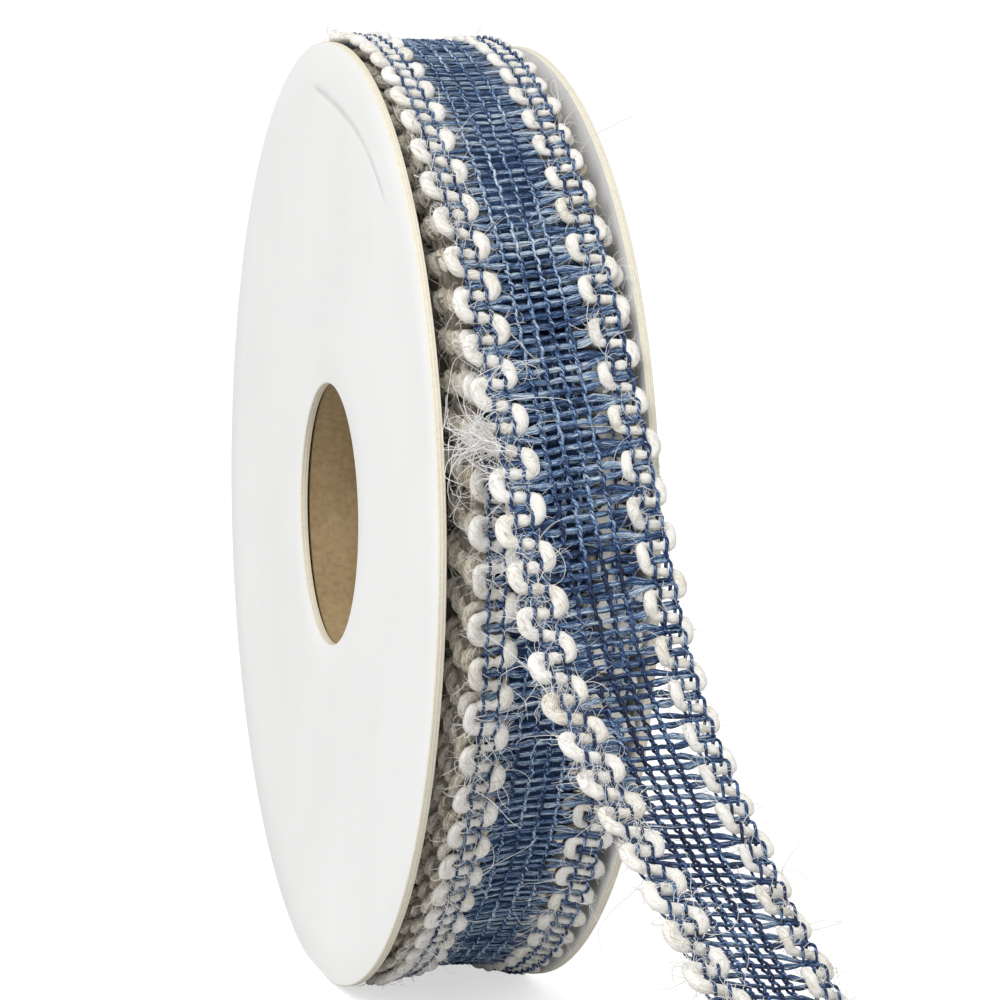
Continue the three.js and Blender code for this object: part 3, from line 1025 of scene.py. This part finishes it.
def addWoundBody():
    inner = reel["tubeOuter"] + reel["tubeGap"]
    lastTurn = (winding["radius"] - inner) / winding["turnDrop"]
    fine = np.arange(below["firstRow"], below["fineTurns"], 1 / below["rowsPerTurn"])
    rows = np.concatenate([fine, np.arange(below["fineTurns"] + 1.0, lastTurn - 1, below["coarseTurn"])])
    tones = [*below["edgeTones"], *[0.0] * below["topPoints"]]
    points = []
    for turn in np.linspace(0, 1 - below["stepGap"] / (2 * math.pi), below["bodySteps"]):
        angle = math.radians(winding["liftAngle"]) + 2 * math.pi * turn
        level = turn + 1
        for number, share in enumerate(np.linspace(-1, 1, below["topPoints"])):
            across = share * below["halfWidth"]
            deep = winding["crown"] * (1 - (across / winding["halfWidth"]) ** 2) + below["clearance"]
            radius = winding["radius"] - winding["turnDrop"] * level - deep
            tone = tones[min(number, below["topPoints"] - 1 - number)]
            points.append((across + driftAt(level), radius, level, tone, angle))
        for side in (1, -1):
            for row in rows[::side]:
                level = turn + below["sideStart"] + row
                radius = max(winding["radius"] - winding["turnDrop"] * level, inner)
                loop = math.sin(2 * math.pi * level * turnLength / period + side)
                bulge = below["sideRelief"] * (loop + math.cos(2 * math.pi * row)) + below["sideSwell"]
                across = side * (below["halfWidth"] + bulge)
                points.append((across + driftAt(level), radius, level, 1.0, angle))
    across, radii, levels, edges, angles = np.array(points).T
    heights = np.maximum(radii * np.sin(angles), below["floorGap"] - footDrop)
    points = np.stack([across, -radii * np.cos(angles), heights], axis=1)
    faces = ringFaces(below["bodySteps"], len(points) // below["bodySteps"])
    body = addMesh("woundBody", points * mm + np.array(axle), faces, woundMaterial())
    marks = {"run": -levels * turnLength, "across": across, "edge": edges, "depth": levels}
    for label, values in marks.items():
        addAttribute(body.data, label, values)
    return body


drumPieces["woundBody"] = addWoundBody()
loopsPerTurn = int(turnLength / period)
for side, places in below["loopsInward"].items():
    for depth, inward in enumerate(places, 1):
        name = "turn" + str(depth) + side.capitalize()
        firstLoop = -drumLoops - depth * loopsPerTurn
        drumPieces[name] = addYarn(name, side, firstLoop, loopsPerTurn, "turnBelow", inward)
        if side == "left":
            drumPieces[name + "Fuzz"] = addHairs(name + "Fuzz", "turnFuzz", drumPieces[name], depth)
print("lower turns wound")


# Reel
def lathe(profile, steps):
    angles = np.arange(steps) * 2 * math.pi / steps
    points = [(x, -r * math.cos(a), r * math.sin(a)) for a in angles for x, r in profile]
    return np.array(points), ringFaces(steps, len(profile))


flange = {"steps": 240, "rimRings": 3, "faceRings": 10, "cornerRadius": 0.16, "cutShare": 0.9}


def flangeProfile(side, dish):
    corner, thickness = flange["cornerRadius"], reel["flangeThickness"]
    bore, rim = reel["boreRadius"] + corner, reel["flangeRadius"] - corner
    faceRadii = np.linspace(bore, rim, flange["faceRings"])
    dishSpan = reel["flangeRadius"] - reel["hubRadius"]

    def plane(radius):
        rise = dish * max(0, (radius - reel["hubRadius"]) / dishSpan) ** reel["dishPower"]
        return reel["width"] / 2 - dish + rise

    def quarter(x, radius, start):
        angles = np.radians(np.linspace(start, start + 90, flange["rimRings"] + 1))
        return [(x + corner * math.cos(a), radius + corner * math.sin(a)) for a in angles]

    profile = [(plane(r), r) for r in faceRadii]
    profile += quarter(plane(rim) - corner, rim, 0)[1:]
    profile += quarter(plane(rim) - thickness + corner, rim, 90)
    profile += [(plane(r) - thickness, r) for r in faceRadii[::-1][1:]]
    profile += quarter(plane(bore) - thickness + corner, bore, 180)[1:]
    profile += quarter(plane(bore) - corner, bore, 270)[:-1]
    return [(side * x, r) for x, r in profile]


def makeGrainGroup():
    tree, given = startShaderGroup("Card grain", {"Place": "Vector", "Scale": "Float"}, ("Grain", "Cloud"))
    return endShaderGroup(tree, {
        "Grain": noise(given["Place"], given["Scale"], 4.0),
        "Cloud": noise(given["Place"], 60.0, 2.0),
    })


grainGroup = makeGrainGroup()


def grain(place, scale):
    inputs = {"Place": place, "Scale": scale}
    return addNode(place.tree, "ShaderNodeGroup", inputs, output=("Grain", "Cloud"), node_tree=grainGroup)


# A faint soft crease, pressed in round the upper front of the left flange. Angles go up from the front.
crease = {
    "radius": 43.2,
    "straying": 0.0045,
    "straysFrom": 72.0,
    "ends": ((46.0, 54.0), (92.0, 98.0)),
    "width": 0.5,
    "depth": 4.0,
    # painted shade that darkens the paper along the crease
    "shade": 0.6,
}


def creaseMark(place):
    x, y, z = split(place)
    forward = (axle.y - y) / mm
    upward = (z - axle.z) / mm
    radius = maths("SQRT", forward * forward + upward * upward)
    angle = maths("ARCTAN2", upward, forward) * (180 / math.pi)
    past = maths("MAXIMUM", angle - crease["straysFrom"], 0.0)
    line = crease["radius"] + past * past * crease["straying"]
    leftFace = maths("LESS_THAN", x, axle.x - (reel["width"] / 2 - reel["leftDish"]) * mm)
    uneven = smoothStep(noise(place, 160.0, 1.0), 0.35, 0.65, 0.6, 1.0)
    return hump(radius - line, 0.0, crease["width"]) * band(angle, *crease["ends"]) * leftFace * uneven


def paperMaterial():
    material, tree, shader = startMaterial("whitePaper", Roughness=0.62)
    place = objectPlace(tree)
    fine, cloud = grain(place, 2600.0)
    cut, ply = (attribute(tree, label) for label in ("cut", "ply"))
    pressed = creaseMark(place)
    # Painted shade: the crease is also painted darker, beside its bump.
    shade = fine * 0.35 + cloud * 0.65 - pressed * crease["shade"]
    face = ramp(shade, [(0.0, "e0dfdd"), (0.3, "f0f0ef"), (0.7, "f6f6f5")])
    layers = maths("SINE", ply * 19.0 + noise(place, 300.0, 2.0) * 2.0)
    edge = ramp(layers * 0.12 + fine * 0.5 + 0.25, [(0.25, "d6cdb4"), (0.5, "e4ddc9"), (0.8, "efebde")])
    plug(mixColour(smoothStep(cut, 0.3, 0.7), face, edge), shader.inputs["Base Color"])
    height = fine * 0.4 + layers * cut * 0.6 - pressed * crease["depth"]
    plug(bumpNormal(height, 0.02), shader.inputs["Normal"])
    return material


whitePaper = paperMaterial()


def addFlange(name, side, dish, topLean):
    profile = flangeProfile(side, dish)
    points, faces = lathe(profile, flange["steps"])
    span = reel["flangeRadius"] - reel["leanStart"]
    lean = topLean * (np.clip(points[:, 2] - reel["leanStart"], 0, None) / span) ** 2
    points[:, 0] -= side * lean
    depths, radii = np.abs(np.array(profile)).T
    foot = footDrop - np.minimum(reel["flangeRadius"] - radii, flange["cornerRadius"])
    points[:, 2] = np.maximum(points[:, 2], np.tile(-foot, flange["steps"]))
    piece = addMesh(name, points * mm + np.array(axle), faces, whitePaper)
    margin = flange["cornerRadius"] * flange["cutShare"]
    cut = (radii > reel["flangeRadius"] - margin) | (radii < reel["boreRadius"] + margin)
    addAttribute(piece.data, "cut", np.tile(cut, flange["steps"]))
    addAttribute(piece.data, "ply", np.tile(depths, flange["steps"]))
    return piece


tube = {"steps": 160, "rings": 4}


def cardMaterial():
    material, tree, shader = startMaterial("brownCard", Roughness=0.8)
    fine, cloud = grain(objectPlace(tree), 1500.0)
    colour = ramp(fine * 0.5 + cloud * 0.5, [(0.3, "7d6a49"), (0.5, "957f5b"), (0.7, "a8926c")])
    plug(colour, shader.inputs["Base Color"])
    plug(bumpNormal(fine, 0.04), shader.inputs["Normal"])
    return material


def addTube():
    left, right = (
        reel["width"] / 2 - reel[dish] - reel["flangeThickness"] - reel["tubeGap"]
        for dish in ("leftDish", "rightDish")
    )
    along = np.linspace(-left, right, tube["rings"])
    profile = [(x, reel["tubeInner"]) for x in along] + [(x, reel["tubeOuter"]) for x in along[::-1]]
    points, faces = lathe(profile, tube["steps"])
    return addMesh("coreTube", points * mm + np.array(axle), faces, cardMaterial())


leftFlange = addFlange("leftFlange", -1, reel["leftDish"], 0.0)
rightFlange = addFlange("rightFlange", 1, reel["rightDish"], reel["rightTopLean"])
coreTube = addTube()
print("reel made")


# Pieces ride on the one body and stand for their CAD solids
bpy.data.objects.remove(ribbonGuide)
for piece, node, slot in (
    (leftFlange, "flange_left", "reel_paper"),
    (rightFlange, "flange_right", "reel_paper"),
    (coreTube, "core_tube", "reel_card"),
):
    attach(piece, "root")
    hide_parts(node)
for pieces, node in ((drumPieces, "ribbon_roll"), (tailPieces, "ribbon_tail")):
    for name, piece in pieces.items():
        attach(piece, "root")
        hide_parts(node)
        woven = "Wefts" in name or "Warps" in name or name == "woundBody"
round(tailLength * mm, 4)


# Studio
studio = {
    "floorSize": 6.0,
    "floorGlow": 0.62,
    "sky": 0.69,
    "backdrop": 1.02,
    "key": 2.4,
    "keyPlace": (-0.3, -0.3, 0.46),
    "keyAim": (0, 0.02, 0.05),
    "keySize": 0.45,
}


def addStudio():
    size = studio["floorSize"] / 2
    material, tree, shader = startMaterial("paleFloor", Roughness=0.9)
    shader.inputs["Emission Color"].default_value = (1, 1, 1, 1)
    seen = addNode(tree, "ShaderNodeLightPath", output="Is Camera Ray")
    plug(seen * studio["floorGlow"], shader.inputs["Emission Strength"])
    pale = ramp(noise(objectPlace(tree), 6.0, 2.0), [(0.3, "d4d4d4"), (0.7, "d8d8d8")])
    plug(pale, shader.inputs["Base Color"])
    corners = [(-size, -size, 0), (size, -size, 0), (size, size, 0), (-size, size, 0)]
    floor = addMesh("floor", corners, [(0, 1, 2, 3)], material, closed=False)
    world = bpy.data.worlds.new("studio")
    world.use_nodes = True
    tree = world.node_tree
    seen = addNode(tree, "ShaderNodeLightPath", output="Is Camera Ray")
    strength = studio["sky"] + seen * (studio["backdrop"] - studio["sky"])
    tree.nodes["Background"].inputs[0].default_value = (1, 1, 1, 1)
    plug(strength, tree.nodes["Background"].inputs[1])
    scene.world = world
    data = bpy.data.lights.new("key", "AREA")
    data.energy = studio["key"]
    data.size = studio["keySize"]
    key = addObject("key", data)
    key.location = studio["keyPlace"]
    key.rotation_euler = (Vector(studio["keyAim"]) - key.location).to_track_quat("-Z", "Y").to_euler()
    scene.view_settings.view_transform = "Standard"


addStudio()
print("studio lit")
